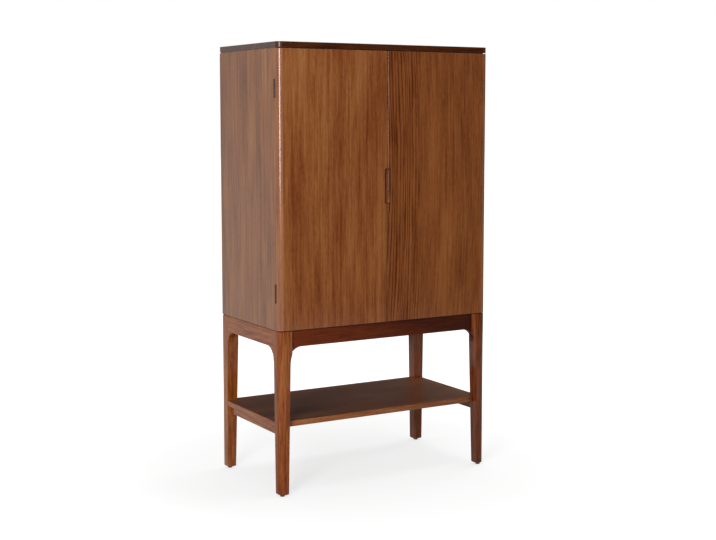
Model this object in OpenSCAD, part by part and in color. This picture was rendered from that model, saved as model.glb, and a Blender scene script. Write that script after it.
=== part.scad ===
// Two-door buffet cabinet on a tall open base: a carcass with butt-hinged doors
// stands on a frame of four tapered legs and arched aprons, with a shelf low
// between the legs. Millimetres. The front faces -Y, +Z is up, and the origin
// is on the floor under the middle of the cabinet.

/* [Cabinet] */
// Width over the side faces
cabinet_w = 830; // [700:5:1000]
// Depth from the door fronts to the rear edges
cabinet_d = 446; // [380:2:520]
// Height from the floor to the top face
cabinet_h = 1500; // [1300:10:1700]
// Radius of the front corners of the top, the doors and the legs
corner_r = 20; // [10:1:21]
// Radius of the rear corners of the top and the legs
rear_corner_r = 4; // [2:1:8]

/* [Carcass] */
// Thickness of the top
top_t = 19; // [15:1:25]
// Thickness of the side panels
side_t = 20; // [18:1:25]
// Thickness of the bottom panel and of the rails under the top
panel_t = 18; // [15:1:22]
// Width of the rails under the top
top_rail_w = 80; // [60:5:120]
// Thickness of the back panel
back_t = 6; // [4:1:9]
// How far the back panel lies inside the rear edges
back_inset = 2; // [1:0.5:6]
// Width of the rebate that holds the back panel in each side
back_rebate_w = 10; // [6:1:14]
// Depth of the shadow line cut round the sides, over the base and under the top
shadow_line_d = 4; // [2:0.5:8]

/* [Inner shelves] */
// Number of adjustable shelves
inner_shelf_count = 2; // [1:1:3]
// Thickness of the adjustable shelves
inner_shelf_t = 18; // [15:1:22]
// How far the shelves lie behind the front of the carcass
inner_shelf_setback = 15; // [5:1:40]
// Gap at each end of a shelf
inner_shelf_end_gap = 2; // [1.5:0.1:4]
// Diameter of the shelf pins
shelf_pin_d = 5; // [4:0.5:7]
// Length of a shelf pin in the side panel
shelf_pin_in = 9; // [6:1:12]
// Length of a shelf pin under the shelf
shelf_pin_out = 10; // [6:1:16]
// Pitch of the holes in a row of pin holes
pin_hole_pitch = 32; // [24:1:40]
// Holes in a row above and below the one in use
pin_holes_each_way = 2; // [0:1:3]
// Distance of the pin holes from the front and the back of the carcass
pin_hole_inset = 50; // [35:1:80]

/* [Doors] */
// Thickness of the doors
door_t = 22; // [21:0.5:25]
// Gap over, under and between the doors, and height of the shadow line
door_gap = 3; // [2:0.5:5]
// Space behind the closed doors
door_back_gap = 2; // [1.6:0.1:3]
// Width of the finger pull that the two doors share
pull_w = 22; // [18:1:40]
// Height of the finger pull
pull_h = 125; // [80:5:200]
// Depth of the finger pull
pull_depth = 10; // [8:1:16]
// Height of the middle of the finger pull over the bottom of the doors
pull_rise = 465; // [300:5:600]

/* [Hinges] */
// Length of a hinge
hinge_h = 60; // [50:1:80]
// Distance of the upper hinges' middle from the top of the doors
hinge_top_inset = 129; // [80:1:200]
// Distance of the lower hinges' middle from the bottom of the doors
hinge_bottom_inset = 122; // [80:1:200]
// Diameter of the hinge barrel
barrel_d = 6.5; // [5.5:0.1:7]
// Diameter of the hinge pin
hinge_pin_d = 3; // [2:0.1:3.5]
// Width of a hinge leaf from the pin
leaf_w = 16; // [14:0.5:17]
// Thickness of a hinge leaf
leaf_t = 2; // [1.7:0.1:2.4]
// How far the hinge pins stand outside the side faces
hinge_out = 0.5; // [0.3:0.1:1]
// Distance between the screws of a leaf
hinge_screw_pitch = 20; // [16:1:22]

/* [Screws] */
// Diameter of the wood screws
screw_d = 3; // [2.5:0.1:3.5]
// Diameter of the wood screws' heads
screw_head_d = 6; // [5:0.1:7]
// Length of the hinge screws
hinge_screw_l = 17; // [12:1:18]
// Length of the screws that hold the back panel
back_screw_l = 22; // [16:1:30]
// Length of the screws that hold the top, from the rails
top_screw_l = 30; // [25:1:32]
// Length that the shelf rail screws reach into the lower shelf
shelf_screw_bite = 12; // [8:1:14]

/* [Catches] */
// Distance of each magnetic catch from the middle of the cabinet
catch_x = 48; // [35:1:90]
// Width of a catch
catch_w = 44; // [34:1:50]
// Depth of a catch
catch_depth = 16; // [12:1:20]
// Height of a catch
catch_h = 12; // [10:1:16]
// Thickness of the magnet in a catch
magnet_t = 4; // [3:0.5:5]
// Thickness of the strike plates on the doors
strike_t = 1.2; // [1:0.1:1.4]
// Width of a strike plate
strike_w = 36; // [28:1:44]

/* [Base] */
// Height of the base, from the floor to the carcass
base_h = 555; // [480:5:620]
// Width of the legs at the top
leg_w = 42; // [40:1:50]
// Width of the legs at the foot
leg_foot_w = 33; // [26:1:38]
// Chamfer round the feet
foot_chamfer = 3; // [1:0.5:5]
// Height of the aprons
apron_h = 55; // [45:1:80]
// Thickness of the aprons
apron_t = 18; // [16:1:20]
// Radius of the arch between an apron and a leg
arch_r = 46; // [24:1:60]
// Step left at the toe of an arch
arch_toe = 1; // [0.5:0.1:2]
// How far the taper of the legs starts below the arches
taper_drop = 4; // [2:1:40]
// How far the front apron lies behind the fronts of the legs
front_apron_recess = 12; // [12:1:24]
// Width of the shoulder beside a front leg, and the radius of its front edge
shoulder_w = 11; // [6:1:12]
// How far the rear apron lies inside the rear faces of the legs
rear_apron_recess = 6; // [4:1:20]
// Length of the apron tenons
tenon_l = 18; // [12:1:20]
// Thickness of all tenons
tenon_t = 8; // [6:0.5:10]
// Shoulder above and below an apron tenon
tenon_shoulder = 8; // [5:1:12]
// Length of a corner block's sides
block_side = 80; // [74:1:110]
// Height of the corner blocks
block_h = 35; // [25:1:42]
// Diameter of the bolts between the base and the carcass
bolt_d = 6; // [5:0.5:8]
// Length that these bolts reach into the bottom panel
bolt_bite = 12; // [8:1:14]

/* [Lower shelf] */
// Height of the underside of the lower shelf
lower_shelf_z = 230; // [150:5:320]
// Thickness of the lower shelf
lower_shelf_t = 19; // [16:1:25]
// How far the front edge lies behind the fronts of the legs
lower_shelf_front_inset = 24; // [12:1:34]
// How far the rear edge lies inside the rear faces of the legs
lower_shelf_rear_inset = 6; // [2:1:30]
// How far the ends lie inside the outer faces of the legs
lower_shelf_end_inset = 1; // [0.5:0.5:10]
// Height of the rails under the lower shelf
shelf_rail_h = 27; // [22:1:40]
// Thickness of the rails under the lower shelf
shelf_rail_t = 18; // [16:1:20]
// How far these rails lie inside the outer faces of the legs
shelf_rail_inset = 12.5; // [4:0.5:14]
// Length of the shelf rail tenons
rail_tenon_l = 14; // [8:1:16]

/* [Glides] */
// Diameter of the glides under the feet
glide_d = 16; // [12:1:22]
// Height of the glides under the feet
glide_h = 6; // [4:0.5:10]
// Diameter of the glide nails
glide_nail_d = 4; // [3:0.5:5]
// Length of the glide nails
glide_nail_l = 18; // [12:1:25]

/* [Hidden] */
$fn = 64;
// Overlap of a cutting tool past the face that it opens, and of two forms that
// are joined into one piece
over = 1;
// Clearance round a tenon, and between a shelf and what it fits round
joint_fit = 0.2;
// Clearance round a screw, bolt, nail, shelf pin or hinge pin
pin_fit = 0.05;
// Clearance round the hinge barrel in the wood
barrel_fit = 0.35;
// Space between the leaves of a closed hinge
leaf_gap = 0.2;
// Space between neighbouring knuckles
knuckle_gap = 0.3;
// Knuckles on one hinge; the first and every second one belong to the carcass
knuckles = 5;
// Height of the heads that keep a hinge pin in, and the step from the barrel
pin_head_h = 1.5;
pin_head_step = 0.5;
// Seat between a shelf and its pins, and the gap behind a shelf
shelf_seat = 0.1;
shelf_back_gap = 1;
// How far the collar of a shelf pin stands out all round, and its own gap
shelf_pin_collar = 1.5;
shelf_pin_collar_gap = 0.5;
// Space between a magnet and its strike plate
magnet_gap = 0.3;
// How far a magnet stands out of its catch, and the space round it
magnet_proud = 0.4;
magnet_fit = 0.1;
// How far a strike plate reaches past its magnet at each end
magnet_inset = 3;
// Screws of a catch and of a strike plate, and their distance from the ends
catch_screw_l = 10;
strike_screw_l = 12;
catch_screw_inset = 4;
// Head and washer face of a base bolt
bolt_head_d = 11;
bolt_head_h = 4;
// Distance of the outer screws from the sides and ends of the carcass
carcass_screw_inset = 60;
// Distance of the outer shelf rail screws from the legs
rail_screw_inset = 40;
// Shoulder above and below the tenon of a shelf rail
rail_shoulder = 5;

front_y = -cabinet_d / 2;
rear_y = cabinet_d / 2;
side_x = cabinet_w / 2;
inner_x = side_x - side_t;
top_z = cabinet_h - top_t;
carcass_y = front_y + door_t + door_back_gap;
back_y1 = rear_y - back_inset;
back_y0 = back_y1 - back_t;
inner_z0 = base_h + panel_t;
inner_z1 = top_z - panel_t;
carcass_h = top_z - base_h;

door_z0 = base_h + door_gap;
door_z1 = top_z - door_gap;
door_h = door_z1 - door_z0;
door_back_y = front_y + door_t;
pull_z = door_z0 + pull_rise;

pivot_x = side_x + hinge_out;
pivot_y = door_back_y + door_back_gap / 2;
hinge_zs = [door_z0 + hinge_bottom_inset, door_z1 - hinge_top_inset];
barrel_r = barrel_d / 2;
pin_head_r = barrel_r - pin_head_step;
knuckle_l = hinge_h / knuckles;
leaf_x0 = barrel_r + barrel_fit;
leaf_y1 = leaf_gap / 2 + leaf_t;
leaf_screw_x = (leaf_x0 + leaf_w) / 2;
leaf_screw_zs = [-hinge_screw_pitch, 0, hinge_screw_pitch];
screw_r = screw_d / 2;
screw_head_r = screw_head_d / 2;
screw_cone_h = screw_head_r - screw_r;

apron_z = base_h - apron_h;
arch_z = apron_z - arch_r;
taper_z = arch_z - taper_drop;
leg_inner_x = side_x - leg_w;
leg_inner_y = cabinet_d / 2 - leg_w;
tenon_h = apron_h - 2 * tenon_shoulder;
side_tenon_in = apron_t / 2;

shelf_top_z = lower_shelf_z + lower_shelf_t;
rail_z = lower_shelf_z - shelf_rail_h;
rail_tenon_h = shelf_rail_h - 2 * rail_shoulder;
rail_tenon_in = shelf_rail_inset + shelf_rail_t / 2;

inner_pitch = (inner_z1 - inner_z0) / (inner_shelf_count + 1);
pin_ys = [carcass_y + pin_hole_inset, back_y0 - pin_hole_inset];
shelf_pin_collar_d = shelf_pin_d + 2 * shelf_pin_collar;
shelf_pin_collar_t = inner_shelf_end_gap - shelf_pin_collar_gap;
magnet_w = strike_w - 2 * magnet_inset;

// Width of a tapered leg at a height
function leg_w_at(z) = z >= taper_z ? leg_w
    : leg_foot_w + (leg_w - leg_foot_w) * (z - glide_h) / (taper_z - glide_h);
// Height of the pins that carry one of the adjustable shelves
function shelf_pin_z(i) = inner_z0 + inner_pitch * (i + 1);
// Places evenly spread between two ends
function spread(a, b, n) = [for (i = [0 : n - 1]) a + (b - a) * i / (n - 1)];

top_screw_x = inner_x - carcass_screw_inset;
back_screw_xs = spread(-top_screw_x, top_screw_x, 4);
back_screw_side_zs = spread(inner_z0 + carcass_screw_inset, inner_z1 - carcass_screw_inset, 4);
shelf_rail_screw_ys = spread(-leg_inner_y + rail_screw_inset, leg_inner_y - rail_screw_inset, 3);

leg_colour = [0.44, 0.25, 0.13];
apron_colour = [0.36, 0.18, 0.09];
side_colour = [0.52, 0.36, 0.27];
door_colour = [0.46, 0.26, 0.13];
top_colour = [0.34, 0.20, 0.13];
shelf_colour = [0.33, 0.20, 0.13];
inner_colour = [0.55, 0.38, 0.25];
ply_colour = [0.60, 0.46, 0.33];
bronze_colour = [0.24, 0.20, 0.17];
steel_colour = [0.62, 0.62, 0.62];
black_colour = [0.08, 0.08, 0.08];

// The waste outside a round corner of a plan whose corner is at the origin
module round_corner_waste(r) {
    difference() {
        translate([-over, -over]) square(r + over);
        translate([r, r]) circle(r);
    }
}

// A block between two corners
module block(from, to) {
    translate(from) cube(to - from);
}

// Children drawn at the right for the left: turned over at the middle plane
module flip_x(right) {
    mirror([right ? 1 : 0, 0, 0]) children();
}

// Children drawn from a corner of the base inwards, put at that corner
module at_corner(right, rear) {
    flip_x(right)
        mirror([0, rear ? 1 : 0, 0])
            translate([-side_x, front_y, 0])
                children();
}

// Children at each hinge of the left door, with the pin's middle as origin
module at_left_hinges() {
    for (z = hinge_zs)
        translate([-pivot_x, pivot_y, z]) children();
}

// A wood screw driven along +Z, with its head's face at the origin
module wood_screw(l) {
    cylinder(r = screw_r, h = l);
    cylinder(r1 = screw_head_r, r2 = screw_r, h = screw_cone_h);
}

// The hole that a wood screw fills
module wood_screw_hole(l) {
    translate([0, 0, -over]) cylinder(r = screw_r + pin_fit, h = l + 2 * over);
    cylinder(r1 = screw_head_r + pin_fit, r2 = screw_r + pin_fit, h = screw_cone_h);
    translate([0, 0, -over]) cylinder(r = screw_head_r + pin_fit, h = over);
}

// Outline of a leg in one direction: it narrows on its inner side only
module leg_outline() {
    polygon([
        [foot_chamfer, glide_h], [leg_foot_w - foot_chamfer, glide_h],
        [leg_foot_w, glide_h + foot_chamfer], [leg_w, taper_z],
        [leg_w, base_h], [0, base_h], [0, glide_h + foot_chamfer]
    ]);
}

// Room for the tenon of a side apron in a leg, from the outer corner
module side_apron_mortise() {
    block([side_tenon_in - tenon_t / 2 - joint_fit, leg_w - tenon_l - joint_fit,
           apron_z + tenon_shoulder - joint_fit],
          [side_tenon_in + tenon_t / 2 + joint_fit, leg_w + over,
           apron_z + tenon_shoulder + tenon_h + joint_fit]);
}

// Room for the tenon of the front or the rear apron
module cross_apron_mortise(recess) {
    block([leg_w - tenon_l - joint_fit, recess + apron_t / 2 - tenon_t / 2 - joint_fit,
           apron_z + tenon_shoulder - joint_fit],
          [leg_w + over, recess + apron_t / 2 + tenon_t / 2 + joint_fit,
           apron_z + tenon_shoulder + tenon_h + joint_fit]);
}

// Room for the tenon of the rail under the lower shelf
module shelf_rail_mortise() {
    block([rail_tenon_in - tenon_t / 2 - joint_fit, leg_w_at(lower_shelf_z) - rail_tenon_l - joint_fit,
           rail_z + (shelf_rail_h - rail_tenon_h) / 2 - joint_fit],
          [rail_tenon_in + tenon_t / 2 + joint_fit, leg_w + over,
           rail_z + (shelf_rail_h + rail_tenon_h) / 2 + joint_fit]);
}

// Plan of the shoulder beside a front leg: it fills the room before the apron,
// and its front edge is round
module shoulder_plan() {
    difference() {
        translate([leg_w - over, 0]) square([shoulder_w + over, front_apron_recess]);
        translate([leg_w + shoulder_w, 0]) mirror([1, 0]) round_corner_waste(shoulder_w);
    }
}

// Front view of this shoulder: the arch of the apron runs on through it
module shoulder_outline() {
    difference() {
        translate([leg_w - over, arch_z]) square([shoulder_w + over, base_h - arch_z]);
        translate([leg_w + arch_r + arch_toe, arch_z]) circle(arch_r);
    }
}

// A leg, from its outer corner inwards. A front leg has a shoulder.
module leg(r, recess, front) {
    difference() {
        intersection() {
            linear_extrude(base_h) union() {
                difference() {
                    square(leg_w);
                    round_corner_waste(r);
                }
                if (front) shoulder_plan();
            }
            translate([0, leg_w, 0]) rotate([90, 0, 0]) linear_extrude(leg_w) union() {
                leg_outline();
                if (front) shoulder_outline();
            }
            rotate([90, 0, 90]) linear_extrude(leg_w + shoulder_w) leg_outline();
        }
        side_apron_mortise();
        cross_apron_mortise(recess);
        shelf_rail_mortise();
        translate([leg_foot_w / 2, leg_foot_w / 2, 0])
            cylinder(r = glide_nail_d / 2 + pin_fit, h = glide_h + glide_nail_l + joint_fit);
    }
}

module front_left_leg() {
    color(leg_colour) at_corner(false, false) leg(corner_r, front_apron_recess, true);
}

module front_right_leg() {
    color(leg_colour) at_corner(true, false) leg(corner_r, front_apron_recess, true);
}

module rear_left_leg() {
    color(leg_colour) at_corner(false, true) leg(rear_corner_r, rear_apron_recess, false);
}

module rear_right_leg() {
    color(leg_colour) at_corner(true, true) leg(rear_corner_r, rear_apron_recess, false);
}

// An apron along +X between two legs, its face at y = 0. The tongue runs through
// it from one tenon to the other.
module apron(span) {
    translate([0, apron_t, 0]) rotate([90, 0, 0]) linear_extrude(apron_t) {
        translate([0, apron_z]) square([span, apron_h]);
        translate([0, arch_z]) spandrel();
        translate([span, arch_z]) mirror([1, 0]) spandrel();
    }
    translate([-tenon_l, apron_t / 2 - tenon_t / 2, apron_z + tenon_shoulder])
        cube([span + 2 * tenon_l, tenon_t, tenon_h]);
}

// The corner between an apron and a leg, rounded by the arch
module spandrel() {
    difference() {
        square([arch_r + arch_toe, arch_r + over]);
        translate([arch_r + arch_toe, 0]) circle(arch_r);
    }
}

module front_apron() {
    color(apron_colour) translate([-leg_inner_x, front_y + front_apron_recess, 0]) apron(2 * leg_inner_x);
}

module rear_apron() {
    color(apron_colour)
        translate([-leg_inner_x, rear_y - rear_apron_recess - apron_t, 0])
            apron(2 * leg_inner_x);
}

module side_apron() {
    translate([-side_x, leg_inner_y, 0]) rotate([0, 0, -90]) apron(2 * leg_inner_y);
}

module left_apron() {
    color(apron_colour) side_apron();
}

module right_apron() {
    color(apron_colour) flip_x(true) side_apron();
}

// Where the bolt stands in a corner block, from the outer corner of the leg
function bolt_shift(recess) = (block_side - 2 * leg_w + 2 * apron_t + recess) / 4;
function bolt_at(recess) = [leg_w + bolt_shift(recess), leg_w + bolt_shift(recess)];

// A three-cornered block behind a leg, screwed up against the carcass
module corner_block(recess) {
    difference() {
        translate([apron_t, recess + apron_t, base_h - block_h])
            linear_extrude(block_h) polygon([[0, 0], [block_side, 0], [0, block_side]]);
        block([-over, -over, 0], [leg_w + joint_fit, leg_w + joint_fit, base_h + over]);
        translate(bolt_at(recess)) cylinder(r = bolt_d / 2 + pin_fit, h = base_h + over);
    }
}

module base_bolt(recess) {
    translate(bolt_at(recess)) {
        translate([0, 0, base_h - block_h]) cylinder(r = bolt_d / 2, h = block_h + bolt_bite);
        translate([0, 0, base_h - block_h - bolt_head_h]) cylinder(r = bolt_head_d / 2, h = bolt_head_h);
    }
}

module corner_blocks() {
    color(inner_colour) for (right = [false, true]) {
        at_corner(right, false) corner_block(front_apron_recess);
        at_corner(right, true) corner_block(rear_apron_recess);
    }
}

module base_bolts() {
    color(steel_colour) for (right = [false, true]) {
        at_corner(right, false) base_bolt(front_apron_recess);
        at_corner(right, true) base_bolt(rear_apron_recess);
    }
}

module foot_glides() {
    color(black_colour) for (right = [false, true], rear = [false, true])
        at_corner(right, rear) translate([leg_foot_w / 2, leg_foot_w / 2, 0]) {
            cylinder(r = glide_d / 2, h = glide_h);
            cylinder(r = glide_nail_d / 2, h = glide_h + glide_nail_l);
        }
}

// The leg's room in a corner of the lower shelf
module shelf_notch() {
    notch = leg_w_at(shelf_top_z) + joint_fit;
    block([-over, -over, lower_shelf_z - over], [notch, notch, shelf_top_z + over]);
}

module lower_shelf() {
    color(shelf_colour) difference() {
        block([-side_x + lower_shelf_end_inset, front_y + lower_shelf_front_inset, lower_shelf_z],
              [side_x - lower_shelf_end_inset, rear_y - lower_shelf_rear_inset, shelf_top_z]);
        for (right = [false, true], rear = [false, true])
            at_corner(right, rear) shelf_notch();
        for (x = [-1, 1], y = shelf_rail_screw_ys)
            translate([x * (side_x - rail_tenon_in), y, rail_z])
                cylinder(r = screw_r + pin_fit, h = shelf_rail_h + shelf_screw_bite + joint_fit);
    }
}

// The left rail under the lower shelf
module shelf_rail() {
    rail_y = cabinet_d / 2 - leg_w_at(lower_shelf_z) - joint_fit;
    tenon_y = cabinet_d / 2 - leg_w_at(lower_shelf_z) + rail_tenon_l;
    difference() {
        union() {
            block([-side_x + shelf_rail_inset, -rail_y, rail_z],
                  [-side_x + shelf_rail_inset + shelf_rail_t, rail_y, lower_shelf_z]);
            block([-side_x + rail_tenon_in - tenon_t / 2, -tenon_y,
                   rail_z + (shelf_rail_h - rail_tenon_h) / 2],
                  [-side_x + rail_tenon_in + tenon_t / 2, tenon_y,
                   rail_z + (shelf_rail_h + rail_tenon_h) / 2]);
        }
        for (y = shelf_rail_screw_ys)
            translate([-side_x + rail_tenon_in, y, rail_z]) wood_screw_hole(shelf_rail_h);
    }
}

module left_shelf_rail() {
    color(leg_colour) shelf_rail();
}

module right_shelf_rail() {
    color(leg_colour) flip_x(true) shelf_rail();
}

module shelf_rail_screws() {
    color(steel_colour) for (x = [-1, 1], y = shelf_rail_screw_ys)
        translate([x * (side_x - rail_tenon_in), y, rail_z])
            wood_screw(shelf_rail_h + shelf_screw_bite);
}

// What a hinge takes out of the wood on the carcass side of the pin: room for
// the barrel, the leaf and the screws. The door's side is its mirror image.
module hinge_room() {
    room_h = hinge_h + 2 * (pin_head_h + barrel_fit);
    translate([0, 0, -room_h / 2]) cylinder(r = leaf_x0, h = room_h);
    block([0, 0, -hinge_h / 2 - joint_fit / 2], [leaf_w + joint_fit / 2, leaf_y1, hinge_h / 2 + joint_fit / 2]);
    for (z = leaf_screw_zs)
        translate([leaf_screw_x, leaf_gap / 2, z]) rotate([-90, 0, 0])
            cylinder(r = screw_r + pin_fit, h = hinge_screw_l + joint_fit);
}

// One hinge leaf with its knuckles, on the carcass side of the pin
module hinge_leaf(first) {
    difference() {
        union() {
            block([leaf_x0, leaf_gap / 2, -hinge_h / 2], [leaf_w, leaf_y1, hinge_h / 2]);
            for (k = [first : 2 : knuckles - 1]) {
                z0 = -hinge_h / 2 + k * knuckle_l + knuckle_gap / 2;
                translate([0, 0, z0]) cylinder(r = barrel_r, h = knuckle_l - knuckle_gap);
                block([0, leaf_gap / 2, z0], [leaf_x0 + over, leaf_y1, z0 + knuckle_l - knuckle_gap]);
            }
        }
        translate([0, 0, -hinge_h / 2 - over])
            cylinder(r = hinge_pin_d / 2 + pin_fit, h = hinge_h + 2 * over);
        for (z = leaf_screw_zs)
            translate([leaf_screw_x, leaf_gap / 2, z]) rotate([-90, 0, 0]) wood_screw_hole(leaf_t);
    }
}

module leaf_screws() {
    for (z = leaf_screw_zs)
        translate([leaf_screw_x, leaf_gap / 2, z]) rotate([-90, 0, 0]) wood_screw(hinge_screw_l);
}

module hinge_pin() {
    translate([0, 0, -hinge_h / 2]) cylinder(r = hinge_pin_d / 2, h = hinge_h);
    for (end = [-1, 1])
        translate([0, 0, end * (hinge_h + pin_head_h) / 2])
            cylinder(r = pin_head_r, h = pin_head_h, center = true);
}

// The left side panel, with its shadow lines, rebate, pin holes and hinge rooms
module side_panel() {
    difference() {
        block([-side_x, carcass_y, base_h], [-inner_x, rear_y, top_z]);
        for (z = [base_h - over, top_z - door_gap])
            block([-side_x - over, carcass_y - over, z],
                  [-side_x + shadow_line_d, rear_y + over, z + door_gap + over]);
        block([-inner_x - back_rebate_w, back_y0, base_h - over],
              [-inner_x + over, rear_y + over, top_z + over]);
        for (i = [0 : inner_shelf_count - 1], row = [-pin_holes_each_way : pin_holes_each_way], y = pin_ys)
            translate([-inner_x + over, y, shelf_pin_z(i) + row * pin_hole_pitch]) rotate([0, -90, 0])
                cylinder(r = shelf_pin_d / 2 + pin_fit, h = shelf_pin_in + joint_fit + over);
        for (z = back_screw_side_zs)
            translate([-inner_x - back_rebate_w / 2, back_y1, z]) rotate([90, 0, 0])
                cylinder(r = screw_r + pin_fit, h = back_screw_l + joint_fit);
        at_left_hinges() hinge_room();
    }
}

module left_side_panel() {
    color(side_colour) side_panel();
}

module right_side_panel() {
    color(side_colour) flip_x(true) side_panel();
}

module bottom_panel() {
    color(inner_colour) difference() {
        block([-inner_x, carcass_y, base_h], [inner_x, back_y0, inner_z0]);
        for (right = [false, true]) {
            at_corner(right, false) translate(bolt_at(front_apron_recess)) bolt_room();
            at_corner(right, true) translate(bolt_at(rear_apron_recess)) bolt_room();
        }
        for (x = back_screw_xs)
            translate([x, back_y1, base_h + panel_t / 2]) rotate([90, 0, 0])
                cylinder(r = screw_r + pin_fit, h = back_screw_l + joint_fit);
    }
}

module bolt_room() {
    translate([0, 0, base_h - over])
        cylinder(r = bolt_d / 2 + pin_fit, h = bolt_bite + joint_fit + over);
}

// Where the screws of the top stand, in the middle of each rail
top_screw_places = [
    for (x = [-top_screw_x, 0, top_screw_x], y = [carcass_y + top_rail_w / 2, back_y0 - top_rail_w / 2]) [x, y]
];

module top_panel() {
    color(top_colour) difference() {
        translate([0, 0, top_z]) linear_extrude(top_t) difference() {
            translate([-side_x, front_y]) square([cabinet_w, cabinet_d]);
            for (right = [0, 1]) mirror([right, 0]) {
                translate([-side_x, front_y]) round_corner_waste(corner_r);
                translate([-side_x, rear_y]) mirror([0, 1]) round_corner_waste(rear_corner_r);
            }
        }
        for (place = top_screw_places)
            translate([place[0], place[1], inner_z1])
                cylinder(r = screw_r + pin_fit, h = top_screw_l + joint_fit);
    }
}

// A rail under the top, from its front edge, with the holes of its screws
module top_rail(y) {
    difference() {
        block([-inner_x, y, inner_z1], [inner_x, y + top_rail_w, top_z]);
        for (place = top_screw_places)
            translate([place[0], place[1], inner_z1]) wood_screw_hole(panel_t);
    }
}

module front_top_rail() {
    color(inner_colour) difference() {
        top_rail(carcass_y);
        for (side = [-1, 1]) translate([side * catch_x, 0, 0]) catch_screw_places()
            cylinder(r = screw_r + pin_fit, h = catch_screw_l + joint_fit);
    }
}

module rear_top_rail() {
    color(inner_colour) difference() {
        top_rail(back_y0 - top_rail_w);
        for (x = back_screw_xs)
            translate([x, back_y1, top_z - panel_t / 2]) rotate([90, 0, 0])
                cylinder(r = screw_r + pin_fit, h = back_screw_l + joint_fit);
    }
}

module top_screws() {
    color(steel_colour) for (place = top_screw_places)
        translate([place[0], place[1], inner_z1]) wood_screw(top_screw_l);
}

// Children at each screw of the back panel, driven along +Z as they are drawn
module at_back_screws() {
    for (x = back_screw_xs, z = [base_h + panel_t / 2, top_z - panel_t / 2])
        translate([x, back_y1, z]) rotate([90, 0, 0]) children();
    for (side = [-1, 1], z = back_screw_side_zs)
        translate([side * (inner_x + back_rebate_w / 2), back_y1, z]) rotate([90, 0, 0]) children();
}

module back_panel() {
    back_x = inner_x + back_rebate_w - joint_fit;
    color(ply_colour) difference() {
        block([-back_x, back_y0, base_h], [back_x, back_y1, top_z]);
        at_back_screws() wood_screw_hole(back_t);
    }
}

module back_screws() {
    color(steel_colour) at_back_screws() wood_screw(back_screw_l);
}

module inner_shelves() {
    shelf_x = inner_x - inner_shelf_end_gap;
    color(inner_colour) for (i = [0 : inner_shelf_count - 1]) {
        z = shelf_pin_z(i) + shelf_pin_d / 2 + shelf_seat;
        block([-shelf_x, carcass_y + inner_shelf_setback, z], [shelf_x, back_y0 - shelf_back_gap, z + inner_shelf_t]);
    }
}

module shelf_pins() {
    color(bronze_colour)
        for (right = [false, true], i = [0 : inner_shelf_count - 1], y = pin_ys)
            flip_x(right) translate([-inner_x, y, shelf_pin_z(i)]) rotate([0, 90, 0]) {
                translate([0, 0, -shelf_pin_in])
                    cylinder(r = shelf_pin_d / 2, h = shelf_pin_in + shelf_pin_out);
                cylinder(r = shelf_pin_collar_d / 2, h = shelf_pin_collar_t);
            }
}

// The left door: its outer front edge is round, and it holds half of the pull
module door() {
    difference() {
        translate([0, 0, door_z0]) linear_extrude(door_h) difference() {
            translate([-side_x, front_y]) square([side_x - door_gap / 2, door_t]);
            translate([-side_x, front_y]) round_corner_waste(corner_r);
        }
        translate([0, front_y + pull_depth, pull_z]) rotate([90, 0, 0])
            linear_extrude(pull_depth + over) pull_outline();
        at_left_hinges() mirror([0, 1, 0]) hinge_room();
        strike_screw_places() wood_screw_hole(strike_screw_l);
    }
}

// The upright outline of the finger pull, with half-round ends
module pull_outline() {
    end_z = (pull_h - pull_w) / 2;
    square([pull_w, 2 * end_z], center = true);
    for (z = [-end_z, end_z]) translate([0, z]) circle(pull_w / 2);
}

module left_door() {
    color(door_colour) door();
}

module right_door() {
    color(door_colour) flip_x(true) door();
}

module left_carcass_leaves() {
    color(bronze_colour) at_left_hinges() hinge_leaf(0);
}

module right_carcass_leaves() {
    color(bronze_colour) flip_x(true) at_left_hinges() hinge_leaf(0);
}

module left_door_leaves() {
    color(bronze_colour) at_left_hinges() mirror([0, 1, 0]) hinge_leaf(1);
}

module right_door_leaves() {
    color(bronze_colour) flip_x(true) at_left_hinges() mirror([0, 1, 0]) hinge_leaf(1);
}

module left_hinge_pins() {
    color(bronze_colour) at_left_hinges() hinge_pin();
}

module right_hinge_pins() {
    color(bronze_colour) flip_x(true) at_left_hinges() hinge_pin();
}

module left_carcass_screws() {
    color(bronze_colour) at_left_hinges() leaf_screws();
}

module right_carcass_screws() {
    color(bronze_colour) flip_x(true) at_left_hinges() leaf_screws();
}

module left_door_screws() {
    color(bronze_colour) at_left_hinges() mirror([0, 1, 0]) leaf_screws();
}

module right_door_screws() {
    color(bronze_colour) flip_x(true) at_left_hinges() mirror([0, 1, 0]) leaf_screws();
}

strike_y = door_back_y + strike_t;
magnet_y = strike_y + magnet_gap;
catch_y = magnet_y + magnet_proud;
catch_z = inner_z1 - catch_h;
catch_mid_z = inner_z1 - catch_h / 2;

// Children at the two screws of a catch that hangs under the rail, driven up
module catch_screw_places() {
    for (end = [-1, 1])
        translate([end * (catch_w / 2 - catch_screw_inset), catch_y + catch_depth / 2, inner_z1]) children();
}

// A catch, centred on the middle of its magnet's width
module catch_body() {
    difference() {
        block([-catch_w / 2, catch_y, catch_z], [catch_w / 2, catch_y + catch_depth, inner_z1]);
        block([-magnet_w / 2 - magnet_fit, catch_y - over, catch_mid_z - magnet_t / 2 - magnet_fit],
              [magnet_w / 2 + magnet_fit, catch_y + catch_depth / 2 + magnet_fit,
               catch_mid_z + magnet_t / 2 + magnet_fit]);
        translate([0, 0, -catch_h]) catch_screw_places() wood_screw_hole(catch_h);
    }
}

module catches() {
    color(ply_colour) for (side = [-1, 1]) translate([side * catch_x, 0, 0]) catch_body();
}

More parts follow.
